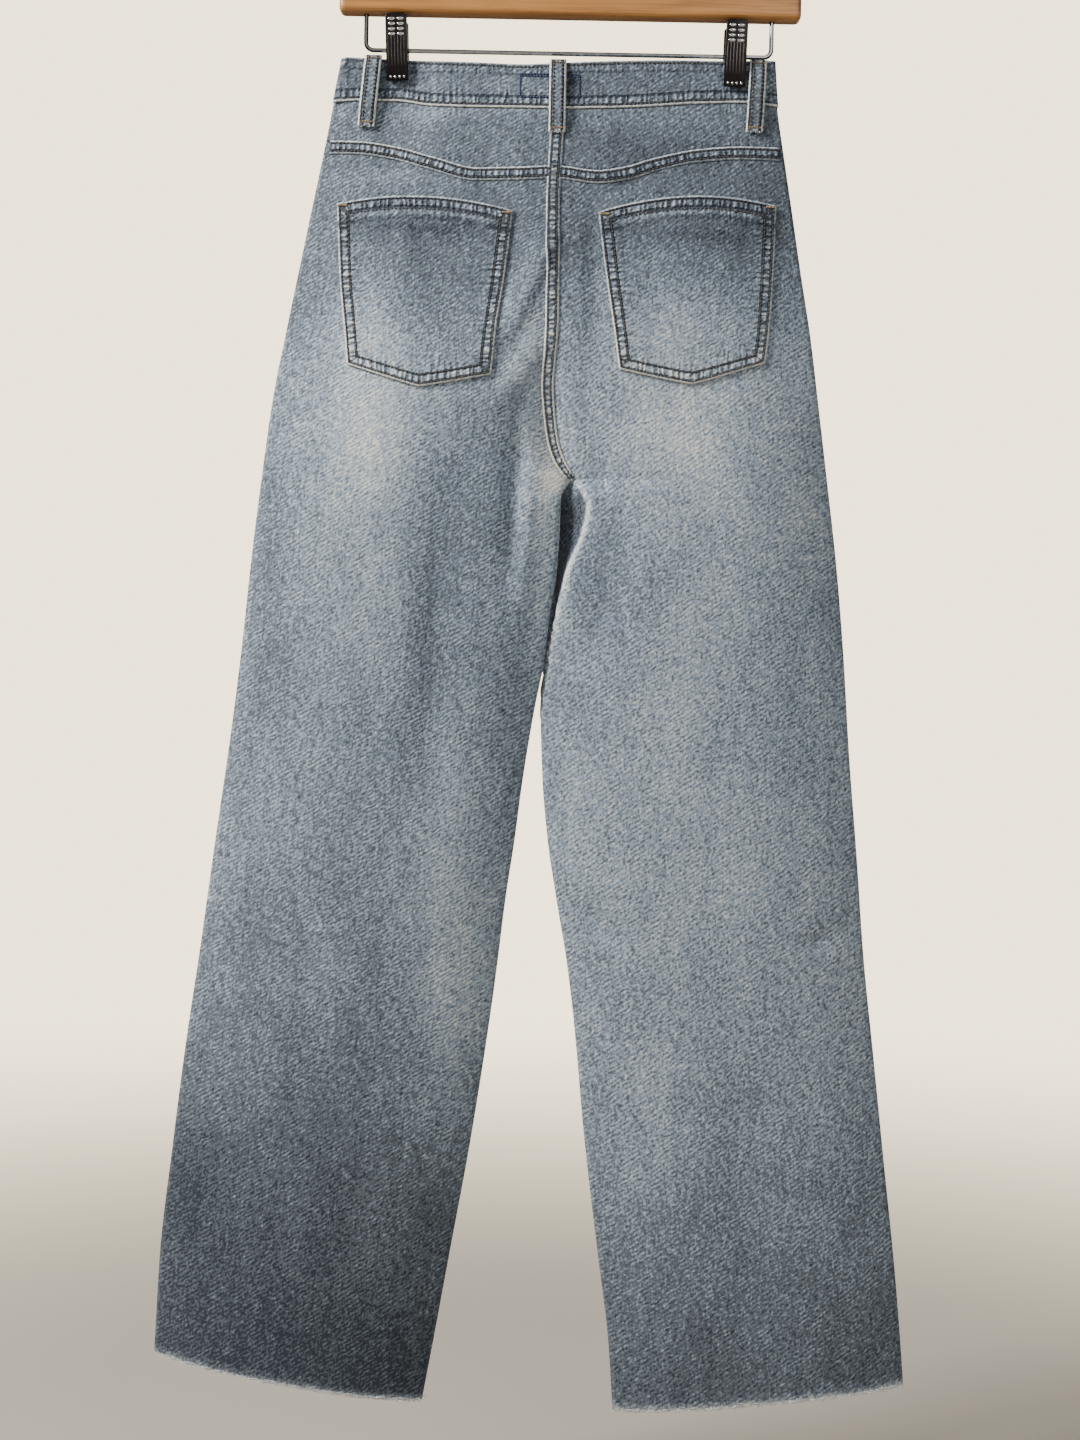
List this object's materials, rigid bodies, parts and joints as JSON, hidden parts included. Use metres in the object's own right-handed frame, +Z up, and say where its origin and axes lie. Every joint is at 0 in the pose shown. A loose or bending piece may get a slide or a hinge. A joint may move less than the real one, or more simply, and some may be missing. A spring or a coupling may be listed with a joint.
{
  "type": "wide-leg jeans on a clip hanger",
  "caption": "Faded wide-leg denim jeans with raw hems, hung by the waistband from the clips of a wooden hanger.",
  "frame": {"origin": "inside of the hook's crown, where the hanger hangs", "axes": "+X to the viewer's right with the back of the jeans towards the viewer, +Y from the back of the jeans to the front, +Z up"},
  "size_m": [0.5841, 0.0502, 1.1872],
  "materials": {
    "denim": "washed blue-grey denim, faded at the seat and thighs, twill weave, raw hems",
    "zip": "dark woven tape with a brass chain",
    "button_metal": "aged copper-coloured metal",
    "wood": "clear-varnished light wood",
    "chrome": "polished chrome wire",
    "clip_steel": "black plated steel",
    "clip_pad": "matte grip pad"
  },
  "bodies": {
    "root": {"back_left": "denim", "back_right": "denim", "front_left": "denim", "front_right": "denim", "yoke_left": "denim", "yoke_right": "denim", "waistband": "denim", "pocket_left": "denim", "pocket_right": "denim", "pocket_facing_left": "denim", "pocket_facing_right": "denim", "fly": "denim", "belt_loop_back_left": "denim", "belt_loop_back_centre": "denim", "belt_loop_back_right": "denim", "belt_loop_front_left": "denim", "belt_loop_front_right": "denim", "zip": "zip", "button": "button_metal", "hanger_bar": "wood", "hanger_wire": "chrome", "hook": "chrome", "clip_left_near": "clip_steel", "clip_left_far": "clip_steel", "clip_right_near": "clip_steel", "clip_right_far": "clip_steel", "clip_saddle_left": "clip_steel", "clip_saddle_right": "clip_steel", "clip_pad_left_near": "clip_pad", "clip_pad_left_far": "clip_pad", "clip_pad_right_near": "clip_pad", "clip_pad_right_far": "clip_pad"}
  },
  "joints": []
}
